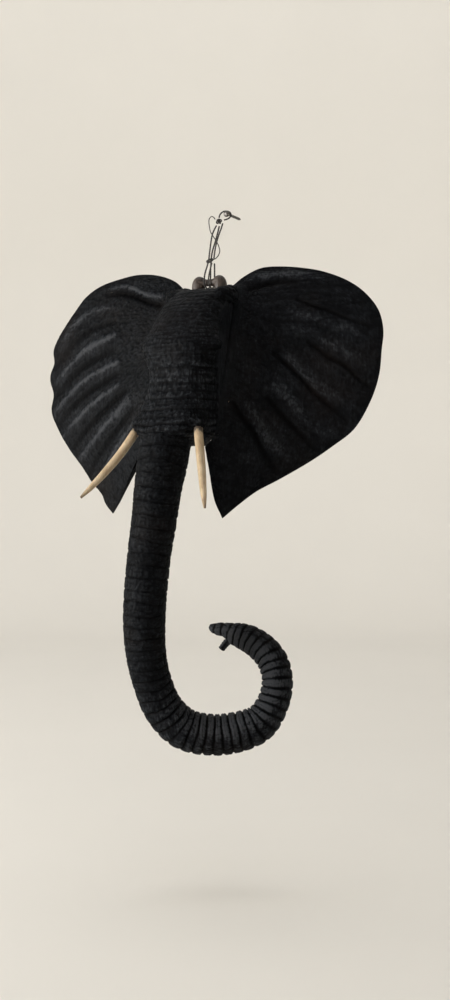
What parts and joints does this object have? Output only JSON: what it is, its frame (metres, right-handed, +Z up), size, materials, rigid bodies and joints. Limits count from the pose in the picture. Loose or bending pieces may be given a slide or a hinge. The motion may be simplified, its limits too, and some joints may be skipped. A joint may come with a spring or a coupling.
{
  "type": "carved elephant head wall hanging",
  "caption": "Ebonised carved elephant head for a wall, with broad folded ears, a ringed trunk curled to one side, bone tusks and a wooden lug on a knotted cord over a nail.",
  "frame": {"origin": "where the nail's axis meets the wall", "axes": "+X the viewer's right, +Y into the wall, +Z up"},
  "size_m": [0.4439, 0.2303, 0.6596],
  "materials": {
    "ebonised_wood": "ebonised, satin",
    "bone": "polished bone",
    "bare_wood": "unstained, worn smooth",
    "peg_wood": "plain dowel",
    "cord": "thin black twisted cord",
    "steel": "blued steel"
  },
  "bodies": {
    "nail": {"wall_nail": "steel"},
    "cord": {"cord_long_loop": "cord", "cord_nail_loop": "cord", "cord_short_loop": "cord", "cord_side_strand": "cord", "cord_loose_thread": "cord", "cord_knot": "cord", "cord_whipping": "cord"},
    "carving": {"head": "ebonised_wood", "trunk": "ebonised_wood", "ear_left": "ebonised_wood", "ear_right": "ebonised_wood", "ear_dowel_left_upper": "peg_wood", "ear_dowel_left_lower": "peg_wood", "ear_dowel_right_upper": "peg_wood", "ear_dowel_right_lower": "peg_wood", "trunk_dowel": "peg_wood", "hanging_lug": "bare_wood"},
    "left_tusk": {"tusk_left": "bone"},
    "right_tusk": {"tusk_right": "bone"}
  },
  "joints": [
    {"name": "swing_on_nail", "type": "hinge", "parent": "nail", "child": "cord", "pos_m": [0, -0.0105, 0], "axis": [0, 1, 0], "range_deg": [-15, 15]},
    {"name": "tilt_at_lug", "type": "hinge", "parent": "cord", "child": "carving", "pos_m": [0, -0.062, -0.0925], "axis": [0, 1, 0], "range_deg": [-10, 10]},
    {"name": "pull_left_tusk", "type": "slide", "parent": "carving", "child": "left_tusk", "axis": [-0.4045, -0.4014, -0.8217], "range_m": [0, 0.02]},
    {"name": "pull_right_tusk", "type": "slide", "parent": "carving", "child": "right_tusk", "axis": [0.2851, -0.3812, -0.8794], "range_m": [0, 0.02]}
  ]
}
